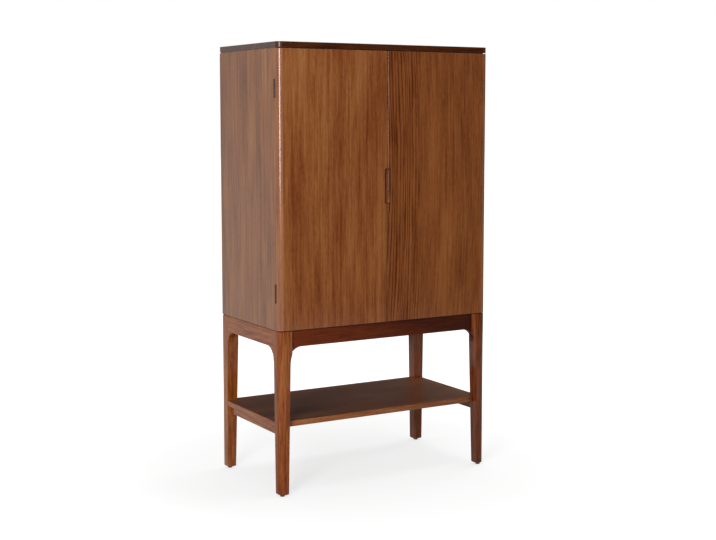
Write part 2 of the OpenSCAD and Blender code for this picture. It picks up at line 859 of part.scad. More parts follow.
module catch_magnets() {
    color(black_colour) for (side = [-1, 1]) translate([side * catch_x, 0, 0])
        block([-magnet_w / 2, magnet_y, catch_mid_z - magnet_t / 2],
              [magnet_w / 2, catch_y + catch_depth / 2, catch_mid_z + magnet_t / 2]);
}

module catch_screws() {
    color(steel_colour) for (side = [-1, 1])
        translate([side * catch_x, 0, -catch_h]) catch_screw_places() wood_screw(catch_h + catch_screw_l);
}

// Children at the two screws of the left strike plate, driven into the door
module strike_screw_places() {
    for (end = [-1, 1])
        translate([-catch_x + end * (strike_w / 2 - catch_screw_inset), strike_y, catch_mid_z])
            rotate([90, 0, 0]) children();
}

// The left strike plate, screwed to the back of its door
module strike_plate() {
    difference() {
        block([-catch_x - strike_w / 2, door_back_y, catch_z], [-catch_x + strike_w / 2, strike_y, inner_z1]);
        strike_screw_places() wood_screw_hole(strike_t);
    }
}

module left_strike_plate() {
    color(steel_colour) strike_plate();
}

module right_strike_plate() {
    color(steel_colour) flip_x(true) strike_plate();
}

module left_strike_screws() {
    color(steel_colour) strike_screw_places() wood_screw(strike_screw_l);
}

module right_strike_screws() {
    color(steel_colour) flip_x(true) strike_screw_places() wood_screw(strike_screw_l);
}

front_left_leg();
front_right_leg();
rear_left_leg();
rear_right_leg();
front_apron();
rear_apron();
left_apron();
right_apron();
corner_blocks();
base_bolts();
foot_glides();
lower_shelf();
left_shelf_rail();
right_shelf_rail();
shelf_rail_screws();
left_side_panel();
right_side_panel();
bottom_panel();
top_panel();
front_top_rail();
rear_top_rail();
top_screws();
back_panel();
back_screws();
inner_shelves();
shelf_pins();
left_door();
right_door();
left_carcass_leaves();
right_carcass_leaves();
left_door_leaves();
right_door_leaves();
left_hinge_pins();
right_hinge_pins();
left_carcass_screws();
right_carcass_screws();
left_door_screws();
right_door_screws();
catches();
catch_magnets();
catch_screws();
left_strike_plate();
right_strike_plate();
left_strike_screws();
right_strike_screws();
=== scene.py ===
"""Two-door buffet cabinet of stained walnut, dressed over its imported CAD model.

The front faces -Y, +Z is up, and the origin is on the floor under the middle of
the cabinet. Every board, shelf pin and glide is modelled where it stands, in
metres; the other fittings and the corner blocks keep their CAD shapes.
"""

import logging
import math
from collections.abc import Callable, Sequence
from dataclasses import dataclass
from enum import Enum
from typing import Any, Self

import bmesh
import bpy
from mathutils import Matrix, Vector


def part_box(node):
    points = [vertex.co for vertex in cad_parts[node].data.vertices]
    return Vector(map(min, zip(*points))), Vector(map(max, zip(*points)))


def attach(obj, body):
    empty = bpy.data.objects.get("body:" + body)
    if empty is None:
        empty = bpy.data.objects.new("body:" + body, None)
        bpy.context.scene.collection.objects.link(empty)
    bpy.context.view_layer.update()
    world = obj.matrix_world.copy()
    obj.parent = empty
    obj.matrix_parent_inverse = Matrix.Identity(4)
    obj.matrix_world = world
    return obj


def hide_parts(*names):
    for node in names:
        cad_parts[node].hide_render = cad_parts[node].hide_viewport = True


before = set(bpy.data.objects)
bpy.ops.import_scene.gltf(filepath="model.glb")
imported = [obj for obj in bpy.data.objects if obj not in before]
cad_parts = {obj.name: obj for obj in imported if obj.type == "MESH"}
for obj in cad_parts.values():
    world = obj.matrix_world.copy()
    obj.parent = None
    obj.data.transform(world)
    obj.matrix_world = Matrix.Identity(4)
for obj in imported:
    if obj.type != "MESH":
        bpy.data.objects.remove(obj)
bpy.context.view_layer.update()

MM = 0.001
HAIR = 0.01 * MM
QUARTER = math.pi / 2
WHITE = (1.0, 1.0, 1.0, 1.0)
CABINET = "cabinet"
LEFT_DOOR = "left_door_body"
RIGHT_DOOR = "right_door_body"
log = logging.getLogger("buffet")

Tree = bpy.types.NodeTree
Socket = bpy.types.NodeSocket
Edge = bmesh.types.BMEdge
Pair = tuple[float, float]
Triple = tuple[float, float, float]
Point = Sequence[float]
Pick = Callable[[Any], bool]

# Metres between the waves of a wave texture of scale 1.
WAVE_LENGTH = 0.314
CORNER_ANGLE = math.radians(40)
CREASE_ANGLE = math.radians(35)
# Facets across a large round, a round of a few millimetres and a sanded edge.
ROUND_FACETS = 14
SMALL_FACETS = 5
EASE_FACETS = 3


class Axis(Enum):
    """The direction in which a rod or the grain of a board runs."""

    X = 0
    Y = 1
    Z = 2

    @property
    def turn(self) -> Triple:
        """Rotation that lays something drawn along Z in this direction."""
        return {Axis.X: (0, QUARTER, 0), Axis.Y: (QUARTER, 0, 0), Axis.Z: (0, 0, 0)}[self]


def linear(code: str) -> tuple[float, float, float, float]:
    """Turn an sRGB hex colour to the linear values that shaders take.

    Args:
        code: A hash sign and six hex digits.

    Returns:
        Linear red, green and blue, and an alpha of 1.
    """
    parts = [int(code[i : i + 2], 16) / 255 for i in (1, 3, 5)]
    red, green, blue = (p / 12.92 if p <= 0.04045 else ((p + 0.055) / 1.055) ** 2.4 for p in parts)
    return red, green, blue, 1.0


def add(
    tree: Tree,
    kind: str,
    inputs: dict[str | int, Any] | None = None,
    stops: Sequence[tuple[float, str]] = (),
    **settings: Any,
) -> bpy.types.bpy_prop_collection:
    """Add a node with its settings, constants, links and colour stops.

    Args:
        tree: The node tree that gets the node.
        kind: The node's type name.
        inputs: A constant, or another node's output to link, for each input.
        stops: Place and hex colour of each stop of a colour ramp.
        settings: Attributes to set on the node.

    Returns:
        The new node's outputs.
    """
    node = tree.nodes.new(kind)
    for name, value in settings.items():
        setattr(node, name, value)
    for key, value in (inputs or {}).items():
        if isinstance(value, Socket):
            tree.links.new(value, node.inputs[key])
        else:
            node.inputs[key].default_value = value
    for number, (place, code) in enumerate(stops):
        ramp = node.color_ramp.elements
        stop = ramp[number] if number < 2 else ramp.new(place)
        stop.position, stop.color = place, linear(code)
    return node.outputs


def fresh_material(name: str) -> tuple[bpy.types.Material, Tree]:
    """Make an empty node material.

    Args:
        name: The material's name.

    Returns:
        The material and its emptied node tree.
    """
    material = bpy.data.materials.new(name)
    material.use_nodes = True
    material.node_tree.nodes.clear()
    return material, material.node_tree


class Finish:
    """What a surface is made of and how it was finished."""

    name: str

    def material(self) -> bpy.types.Material:
        """The finish's material, built the first time that it is asked for."""
        return bpy.data.materials.get(self.name) or self.build()

    def build(self) -> bpy.types.Material:
        """Build the material; each finish has its own way."""
        raise NotImplementedError


@dataclass(frozen=True)
class Walnut(Finish):
    """Stained walnut, sliced or sawn along the grain and sprayed with satin lacquer.

    The eye sees soft tones, long streaks, fibres and flecks, dark growth lines,
    and a sheen that follows the light. A width lies across the grain, and a
    stretch is how many times longer a patch is. Real pores are about 0.2 mm
    wide, too fine to show, so fibres and flecks are drawn 4 to 5 mm wide. The
    drift paints light and shade into the wood: a change of shade for each
    metre along an axis, and its upward part is counted from the drift height.
    """

    name: str
    grain: Axis
    dark: str
    middle: str
    light: str
    place: Triple = (0.0, 0.0, 0.0)
    stops: Triple = (0.18, 0.52, 0.88)
    tone: float = 0.65
    tone_width: float = 80 * MM
    tone_stretch: float = 5
    streak: float = 0.6
    streak_width: float = 13 * MM
    streak_stretch: float = 16
    fibre: float = 0.7
    fibre_width: float = 5 * MM
    fibre_stretch: float = 14
    fleck: float = 0.3
    fleck_width: float = 4 * MM
    fleck_stretch: float = 5
    octave_share: float = 0.55
    line: float = 0.0
    line_pitch: float = 24 * MM
    line_stretch: float = 20
    line_wander: float = 9.0
    line_share: float = 0.4
    line_reach: float = 10.0
    line_rest: float = 0.12
    bow: float = 0.0
    bow_height: float = 1.05
    painted_light_drift: Triple = (0.0, 0.0, 0.0)
    drift_height: float = 1.0
    cross: Axis | None = None
    cross_reach: Pair = (188 * MM, 172 * MM)
    roughness: float = 0.16
    rough_swing: float = 0.06
    gloss: float = 0.5
    relief: float = 0.1
    relief_depth: float = 0.15 * MM

    def build(self) -> bpy.types.Material:
        """Lay tone, streaks, fibres and growth lines along the grain.

        Returns:
            The finished material.
        """
        material, tree = fresh_material(self.name)
        spot = add(tree, "ShaderNodeTexCoord")["Object"]
        shade, fibre = self._pattern(tree, spot, self.grain)
        if self.cross:
            crossed, _ = self._pattern(tree, spot, self.cross)
            shade = add(tree, "ShaderNodeMix", {
                0: self._fade(tree, spot, Axis.Y, self.cross_reach, (0.0, 1.0)), 2: shade, 3: crossed})[0]
        stops = tuple(zip(self.stops, (self.dark, self.middle, self.light)))
        colour = add(tree, "ShaderNodeValToRGB", {0: shade}, stops)[0]
        rough = add(tree, "ShaderNodeMath", {
            0: fibre, 1: -self.rough_swing, 2: self.roughness + self.rough_swing / 2}, operation="MULTIPLY_ADD")[0]
        relief = add(tree, "ShaderNodeBump", {
            "Strength": self.relief, "Distance": self.relief_depth, "Height": fibre})[0]
        surface = add(tree, "ShaderNodeBsdfPrincipled", {
            "Base Color": colour, "Roughness": rough, "Normal": relief, "IOR": 1.5, "Specular IOR Level": self.gloss})
        add(tree, "ShaderNodeOutputMaterial", {0: surface[0]})
        return material

    def _pattern(self, tree: Tree, spot: Socket, grain: Axis) -> tuple[Socket, Socket]:
        """The wood's shade for one direction of the grain.

        Args:
            tree: The material's tree.
            spot: Object coordinates.
            grain: The direction of the grain.

        Returns:
            The shade, about 0.5, and the fibres alone.
        """
        turn = {Axis.X: (0, -QUARTER, 0), Axis.Y: (QUARTER, 0, 0), Axis.Z: (0, 0, 0)}[grain]
        along = add(tree, "ShaderNodeMapping", {0: spot, 1: self.place, 2: turn})[0]
        if self.bow:
            along = self._bowed(tree, along)
        tone = self._noise(tree, along, self.tone_width, self.tone_stretch, 2)
        streak = self._noise(tree, along, self.streak_width, self.streak_stretch, 3)
        fibre = self._noise(tree, along, self.fibre_width, self.fibre_stretch, 2)
        fleck = self._noise(tree, along, self.fleck_width, self.fleck_stretch, 1)
        parts = [(self.tone, tone), (self.streak, streak), (self.fibre, fibre), (self.fleck, fleck)]
        shade: Any = 0.5 - 0.5 * sum(weight for weight, _ in parts)
        if self.line:
            parts.append((-2 * self.line, self._growth_lines(tree, spot, along, streak)))
        # The drift is painted light and shade along the axes.
        if any(self.painted_light_drift):
            painted_light_drift = add(tree, "ShaderNodeVectorMath", {0: spot, 1: self.painted_light_drift}, operation="DOT_PRODUCT")["Value"]
            parts.append((1.0, painted_light_drift))
            shade -= self.painted_light_drift[2] * self.drift_height
        for weight, part in parts:
            shade = add(tree, "ShaderNodeMath", {0: part, 1: weight, 2: shade}, operation="MULTIPLY_ADD")[0]
        return shade, fibre

    def _fade(self, tree: Tree, spot: Socket, axis: Axis, reach: Point, shares: Point) -> Socket:
        """A smooth change with the distance from the cabinet's middle.

        Args:
            tree: The material's tree.
            spot: Object coordinates.
            axis: The axis of the distance.
            reach: Where the change starts and ends.
            shares: Its values there.

        Returns:
            The value at each spot.
        """
        place = add(tree, "ShaderNodeSeparateXYZ", {0: spot})[axis.value]
        away = add(tree, "ShaderNodeMath", {0: place}, operation="ABSOLUTE")[0]
        return add(tree, "ShaderNodeMapRange", dict(enumerate((away, *reach, *shares))),
                   interpolation_type="SMOOTHSTEP")[0]

    def _bowed(self, tree: Tree, along: Socket) -> Socket:
        """Bend the grain into the long arcs of a flat-sliced leaf.

        Args:
            tree: The material's tree.
            along: Coordinates whose Z runs along the grain.

        Returns:
            The bent coordinates.
        """
        parts = add(tree, "ShaderNodeSeparateXYZ", {0: along})
        rise = add(tree, "ShaderNodeMath", {0: parts[2], 1: self.bow_height}, operation="SUBTRACT")
        square = add(tree, "ShaderNodeMath", {0: rise[0], 1: rise[0]}, operation="MULTIPLY")
        across = add(tree, "ShaderNodeMath", {0: square[0], 1: self.bow, 2: parts[0]}, operation="MULTIPLY_ADD")
        return add(tree, "ShaderNodeCombineXYZ", {0: across[0], 1: parts[1], 2: parts[2]})[0]

    def _noise(self, tree: Tree, along: Socket, width: float, stretch: float, detail: float) -> Socket:
        """Noise of a real width across the grain, drawn out along it.

        Args:
            tree: The material's tree.
            along: Coordinates whose Z runs along the grain.
            width: Width of a patch across the grain.
            stretch: How many times longer it is.
            detail: Octaves of the noise.

        Returns:
            The noise, about 0.5.
        """
        scale = (1 / width, 1 / width, 1 / (width * stretch))
        fitted = add(tree, "ShaderNodeVectorMath", {0: along, 1: scale}, operation="MULTIPLY")[0]
        return add(tree, "ShaderNodeTexNoise",
                   {"Vector": fitted, "Scale": 1.0, "Detail": detail, "Roughness": self.octave_share})[0]

    def _growth_lines(self, tree: Tree, spot: Socket, along: Socket, streak: Socket) -> Socket:
        """Dark growth lines at their real pitch, which wander and come and go.

        Args:
            tree: The material's tree.
            spot: Object coordinates.
            along: Coordinates whose Z runs along the grain.
            streak: Noise that the strength of the lines follows.

        Returns:
            The lines, from 0 between them to about 0.5 in a dark line.
        """
        scale = (1, 1, 1 / self.line_stretch)
        fitted = add(tree, "ShaderNodeVectorMath", {0: along, 1: scale}, operation="MULTIPLY")[0]
        wave = add(tree, "ShaderNodeTexWave", {
            "Vector": fitted, "Scale": WAVE_LENGTH / self.line_pitch, "Distortion": self.line_wander,
            "Detail": 3.0, "Detail Scale": 1.3, "Detail Roughness": 0.6,
        }, wave_type="BANDS", bands_direction="X", wave_profile="SIN")[1]
        line = add(tree, "ShaderNodeMapRange", {0: wave, 2: self.line_share, 3: 1.0, 4: 0.0})[0]
        line = add(tree, "ShaderNodeMath", {0: line, 1: streak}, operation="MULTIPLY")[0]
        reach = self._fade(tree, spot, Axis.X, (self.line_reach / 2, self.line_reach), (1.0, self.line_rest))
        return add(tree, "ShaderNodeMath", {0: line, 1: reach}, operation="MULTIPLY")[0]


@dataclass(frozen=True)
class PlainSurface(Finish):
    """A moulded, plated or pressed surface with a fine grit of its own.

    The eye sees one slightly uneven colour and a broken highlight. Real grit is
    about 0.1 mm, too fine to show, so it is drawn 1.5 mm wide.
    """

    name: str
    low: str
    high: str
    roughness: float
    metallic: float = 0.0
    rough_swing: float = 0.2
    grit: float = 1.5 * MM
    relief: float = 0.1
    relief_depth: float = 0.05 * MM

    def build(self) -> bpy.types.Material:
        """Mix two near shades by a fine noise.

        Returns:
            The finished material.
        """
        material, tree = fresh_material(self.name)
        spot = add(tree, "ShaderNodeTexCoord")["Object"]
        grit = add(tree, "ShaderNodeTexNoise",
                   {"Vector": spot, "Scale": 1 / self.grit, "Detail": 3.0, "Roughness": 0.6})[0]
        colour = add(tree, "ShaderNodeValToRGB", {0: grit}, ((0.3, self.low), (0.7, self.high)))[0]
        rough = add(tree, "ShaderNodeMath", {
            0: grit, 1: self.rough_swing, 2: self.roughness - self.rough_swing / 2}, operation="MULTIPLY_ADD")[0]
        relief = add(tree, "ShaderNodeBump", {
            "Strength": self.relief, "Distance": self.relief_depth, "Height": grit})[0]
        surface = add(tree, "ShaderNodeBsdfPrincipled", {
            "Base Color": colour, "Roughness": rough, "Normal": relief, "Metallic": self.metallic})
        add(tree, "ShaderNodeOutputMaterial", {0: surface[0]})
        return material


# Flat-sliced veneer, warm and satin: calm streaks on the left door, and on the right door a bundle of bowed
# dark growth lines beside the meeting edge. Their drifts are painted light and shade: the left door lighter at
# the top, the right door lighter at the bottom, and both darker towards the meeting edge.
LEFT_DOOR_VENEER = Walnut("walnut_veneer_left_door", Axis.Z, "#64290A", "#8A4F27", "#A46D3E", (0.3, 0.0, 0.2),
                          tone=0.6, streak=0.55, fibre=0.55, streak_stretch=26, fibre_stretch=22,
                          painted_light_drift=(-0.15, 0.0, 0.08), line=0.08)
RIGHT_DOOR_VENEER = Walnut("walnut_veneer_right_door", Axis.Z, "#5A260B", "#844A23", "#9B6032", (1.7, 0.0, 0.0),
                           tone=0.55, streak=0.55, fibre=0.55, streak_stretch=26, fibre_stretch=22,
                           painted_light_drift=(0.15, 0.0, -0.06), line=0.42, line_pitch=11 * MM, line_reach=160 * MM, bow=0.06)
# Quarter-sliced veneer: straight narrow streaks under a duller lacquer.
SIDE_VENEER = Walnut("walnut_veneer_sides", Axis.Z, "#592E12", "#86512A", "#A56F43", (0.9, 0.4, 0.7), fibre=0.8,
                     fleck=0.25, streak_stretch=40, fibre_stretch=40, gloss=0.22)
# Veneer in the darkest tones, so that the top reads as a dark band.
TOP_VENEER = Walnut("walnut_top", Axis.X, "#2E1307", "#47210D", "#5E331A", (0.2, 0.1, 0.5), gloss=0.28)
# Planed and sanded solid wood: a lively figure, upright in the legs and level in the side aprons. Its drift is
# painted light and shade: darker towards the right and lighter towards the rear.
FRAME_WOOD = Walnut("walnut_solid_frame", Axis.Z, "#50230A", "#823F17", "#A0622C", (0.0, 0.6, 0.1), streak=0.8,
                    fibre=0.9, painted_light_drift=(-0.3, 0.3, 0.0), cross=Axis.Y, gloss=0.14)
# The same wood with a deep red-brown stain and painted shade of the recess under the doors, nearly matt;
# its drift is painted shade that deepens towards the right.
APRON_STAIN_AND_PAINTED_SHADE = Walnut("walnut_solid_cross_aprons", Axis.X, "#3A1204", "#52200A", "#6A2D12", (0.5, 0.3, 0.2),
                    painted_light_drift=(-1.1, 0.0, 0.0), roughness=0.4, gloss=0.1)
# The open shelf's veneer is paler and greyer than its solid lippings: painted shade from the cabinet above it
# and a painted sheen. Its drift is a painted reflection, lighter towards the right, and the lippings' drift is
# painted light, lighter towards the left.
SHELF_VENEER_PAINTED_SHADE_AND_SHEEN = Walnut("walnut_veneer_open_shelf", Axis.X, "#4C2A1A", "#6C432E", "#86583F", (0.8, 0.2, 0.3),
                      painted_light_drift=(0.3, 0.0, 0.0), roughness=0.3)
LIPPING_WOOD = Walnut("walnut_solid_shelf_lipping", Axis.X, "#5E290D", "#884A20", "#A36835", (0.1, 0.7, 0.4),
                      painted_light_drift=(-0.3, 0.0, 0.0), gloss=0.2)
# The inside and the plywood back have no stain, so they are lighter.
INNER_VENEER = Walnut("walnut_veneer_inside_shelves", Axis.X, "#7A4E30", "#946542", "#AA7C57", (0.7, 0.1, 0.8))
BACK_VENEER = Walnut("walnut_plywood_back", Axis.Z, "#6A4228", "#83573A", "#9A6D4C", (0.2, 0.5, 0.9))
# Plated and rubbed steel: nearly black, with a brown glint.
BRONZE = PlainSurface("antique_bronze_plating", "#2A2320", "#463A33", 0.42, 1.0)
# Bright zinc on steel: pale grey that mirrors softly.
STEEL = PlainSurface("zinc_plated_steel", "#A9ABA9", "#C4C6C4", 0.38, 1.0)
# Moulded plastics, matt from a finely eroded mould, and pressed ferrite, dull and grainy.
NYLON = PlainSurface("black_nylon", "#0D0D0D", "#1B1B1B", 0.55)
CATCH_ABS = PlainSurface("brown_abs_catch", "#3A2418", "#4B3020", 0.45)
FERRITE = PlainSurface("ferrite_magnet", "#202022", "#323235", 0.6)


def runs_along(edge: Edge, axis: Axis, slack: float = 0.02) -> bool:
    """Whether an edge runs along an axis, within a small slant."""
    span = edge.verts[1].co - edge.verts[0].co
    return abs(span[axis.value]) >= (1 - slack) * span.length


def middle_of(edge: Edge) -> Vector:
    """The middle of an edge."""
    return (edge.verts[0].co + edge.verts[1].co) / 2


def near(one: float, other: float, reach: float = 0.05 * MM) -> bool:
    """Whether two measures are the same within a reach."""
    return abs(one - other) <= reach


def upright_at(y: float, x: float | None = None) -> Pick:
    """A test for upright edges at a y, and at an x if one is given."""
    return lambda e: (runs_along(e, Axis.Z) and near(middle_of(e).y, y)
                      and (x is None or near(middle_of(e).x, x)))


def outer_arris(edge: Edge) -> bool:
    """Whether an edge is a sharp outer corner of the piece."""
    return len(edge.link_faces) == 2 and edge.is_convex and edge.calc_face_angle(0.0) > CORNER_ANGLE


def faces(face: bmesh.types.BMFace, axis: Axis, sign: int = 1) -> bool:
    """Whether a face looks along an axis, or against it with a sign of -1."""
    return face.normal[axis.value] * sign > 0.9


@dataclass
class Workpiece:
    """A piece on the bench, shaped with edit-mode operators where it stands."""

    obj: bpy.types.Object

    @classmethod
    def _adopt(cls, name: str) -> Self:
        """Take up the primitive just added, and put its place in its mesh.

        Args:
            name: The piece's name.

        Returns:
            The new workpiece.
        """
        obj = bpy.context.active_object
        obj.name = obj.data.name = name
        bpy.ops.object.transform_apply(location=True, rotation=True, scale=True)
        return cls(obj)

    @classmethod
    def block(cls, name: str, low: Point, high: Point) -> Self:
        """Add a block between two corners.

        Args:
            name: The piece's name.
            low: Its lowest corner.
            high: Its highest corner.

        Returns:
            The new workpiece.
        """
        bpy.ops.object.select_all(action="DESELECT")
        low, high = Vector(low), Vector(high)
        bpy.ops.mesh.primitive_cube_add(size=1, location=(low + high) / 2, scale=high - low)
        return cls._adopt(name)

    @classmethod
    def rod(cls, name: str, middle: Point, radius: float, length: float, axis: Axis = Axis.Z, sides: int = 32) -> Self:
        """Add a rod.

        Args:
            name: The piece's name.
            middle: The middle of the rod.
            radius: Its radius.
            length: Its length.
            axis: The direction it runs in.
            sides: Facets round it.

        Returns:
            The new workpiece.
        """
        bpy.ops.object.select_all(action="DESELECT")
        bpy.ops.mesh.primitive_cylinder_add(
            vertices=sides, radius=radius, depth=length, location=middle, rotation=axis.turn
        )
        return cls._adopt(name)

    def _take(self) -> None:
        """Select this piece alone and make it the active one."""
        bpy.ops.object.select_all(action="DESELECT")
        self.obj.select_set(True)
        bpy.context.view_layer.objects.active = self.obj

    def _work(self, kind: str, pick: Pick | None, *jobs: Callable[[], Any]) -> Self:
        """Select in edit mode what passes a test, and run operators on it.

        Args:
            kind: VERT, EDGE or FACE.
            pick: The test, or None for everything.
            jobs: The operators to run.

        Returns:
            This workpiece.
        """
        self._take()
        bpy.ops.object.mode_set(mode="EDIT")
        bpy.ops.mesh.select_mode(type=kind)
        bpy.ops.mesh.select_all(action="DESELECT" if pick else "SELECT")
        if pick:
            mesh = bmesh.from_edit_mesh(self.obj.data)
            for item in {"VERT": mesh.verts, "EDGE": mesh.edges, "FACE": mesh.faces}[kind]:
                if pick(item):
                    item.select_set(True)
            mesh.select_flush_mode()
            bmesh.update_edit_mesh(self.obj.data)
        for job in jobs:
            job()
        bpy.ops.object.mode_set(mode="OBJECT")
        return self

    def score(self, axis: Axis, place: float) -> Self:
        """Score the whole piece across an axis."""
        normal = Vector([float(a is axis) for a in Axis])
        return self._work("FACE", None, lambda: bpy.ops.mesh.bisect(plane_co=normal * place, plane_no=normal))

    def extrude(self, pick: Pick, step: Point) -> Self:
        """Pull the faces that pass a test out by a step."""
        return self._work("FACE", pick, lambda: bpy.ops.mesh.extrude_region_move(
            TRANSFORM_OT_translate={"value": tuple(step)}))

    def shift(self, pick: Pick, step: Point) -> Self:
        """Move the corners that pass a test by a step."""
        return self._work("VERT", pick, lambda: bpy.ops.transform.translate(value=tuple(step)))

    def crease(self, pick: Pick) -> Self:
        """Keep the shading sharp at the edges that pass a test."""
        return self._work("EDGE", pick, bpy.ops.mesh.mark_sharp)

    def quarter_turn(self) -> Self:
        """Turn the piece a quarter about the cabinet's upright axis."""
        return self._work("VERT", None, lambda: bpy.ops.transform.rotate(
            value=QUARTER, orient_axis="Z", center_override=(0, 0, 0)))

    def round_edges(self, pick: Pick, radius: float, segments: int) -> Self:
        """Round the edges that pass a test, or chamfer them with one segment.

        Args:
            pick: The test for an edge.
            radius: Radius of the round, or width of the chamfer.
            segments: Facets across it.

        Returns:
            This workpiece.
        """
        return self._work(
            "EDGE", pick,
            lambda: bpy.ops.mesh.bevel(offset_type="OFFSET", offset=radius, segments=segments, profile=0.5,
                                       affect="EDGES", clamp_overlap=False),
            lambda: bpy.ops.mesh.select_all(action="SELECT"),
            lambda: bpy.ops.mesh.remove_doubles(threshold=HAIR),
        )

    def ease(self, radius: float, keep: Pick | None = None) -> Self:
        """Sand the sharp outer edges to a radius, but for those that pass a test."""
        return self.round_edges(lambda e: outer_arris(e) and not (keep and keep(e)), radius, EASE_FACETS)

    def copied(self, name: str, step: Point = (0, 0, 0)) -> Self:
        """Copy the piece with a mesh of its own.

        Args:
            name: The copy's name.
            step: How far the copy is moved.

        Returns:
            The copy.
        """
        obj = self.obj.copy()
        obj.data = self.obj.data.copy()
        obj.name = obj.data.name = name
        bpy.context.scene.collection.objects.link(obj)
        return Workpiece(obj)._work("VERT", None, lambda: bpy.ops.transform.translate(value=tuple(step)))

    def mirrored(self, name: str) -> Self:
        """Copy the piece to the other side of the cabinet's middle plane.

        Args:
            name: The copy's name.

        Returns:
            The mirrored copy, with its faces turned outwards again.
        """
        return self.copied(name)._work(
            "VERT", None,
            lambda: bpy.ops.transform.resize(value=(-1, 1, 1), center_override=(0, 0, 0)),
            lambda: bpy.ops.mesh.remove_doubles(threshold=HAIR / 2),
            lambda: bpy.ops.mesh.normals_make_consistent(inside=False),
        )

    def join(self, *others: Self) -> Self:
        """Join other workpieces to this one as one object.

        Args:
            others: The workpieces that it takes up.

        Returns:
            This workpiece.
        """
        self._take()
        for piece in others:
            piece.obj.select_set(True)
        bpy.ops.object.join()
        return self

    def _modify(self, kind: str, **settings: Any) -> None:
        """Add a modifier and apply it.

        Args:
            kind: The modifier's type.
            settings: Attributes to set on it.
        """
        self._take()
        modifier = self.obj.modifiers.new("job", kind)
        for name, value in settings.items():
            setattr(modifier, name, value)
        bpy.ops.object.modifier_apply(modifier=modifier.name)

    def carve(self, *cutters: Self) -> Self:
        """Cut away what the cutters cover, and put the cutters back.

        Args:
            cutters: The workpieces that are taken out of this one.

        Returns:
            This workpiece.
        """
        for cutter in cutters:
            self._modify("BOOLEAN", operation="DIFFERENCE", solver="EXACT", object=cutter.obj)
            bpy.data.objects.remove(cutter.obj)
        return self

    def fit(self, slot: str, finish: Finish, *nodes: str, body: str = CABINET) -> None:
        """Smooth, dress and seat the finished piece.

        Args:
            slot: Not used.
            finish: Its finish.
            nodes: The CAD nodes that it stands for.
            body: The body that it moves with.
        """
        self._take()
        bpy.ops.object.shade_smooth_by_angle(angle=CREASE_ANGLE)
        self._modify("WEIGHTED_NORMAL", keep_sharp=True, weight=50)
        self.obj.data.materials.clear()
        self.obj.data.materials.append(finish.material())
        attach(self.obj, body)
        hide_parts(*nodes)
        log.info("%s: %d faces", self.obj.name, len(self.obj.data.polygons))

    def fit_pair(self, slot: str, finish: Finish, node: str) -> None:
        """Mirror a left piece of the cabinet, and fit both.

        Args:
            slot: The record's material slot.
            finish: Their finish.
            node: The CAD node that the left one stands for.
        """
        other = self.mirrored(self.obj.name.replace("left", "right"))
        self.fit(slot, finish, node)
        other.fit(slot, finish, node.replace("left", "right"))


def dress(finish: Finish, *nodes: str) -> None:
    """Give CAD nodes whose shape stays a finish.

    Args:
        finish: The finish.
        nodes: The nodes' names.
    """
    for name in nodes:
        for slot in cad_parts[name].material_slots:
            slot.material = finish.material()
        log.info("%s: CAD shape kept", name)


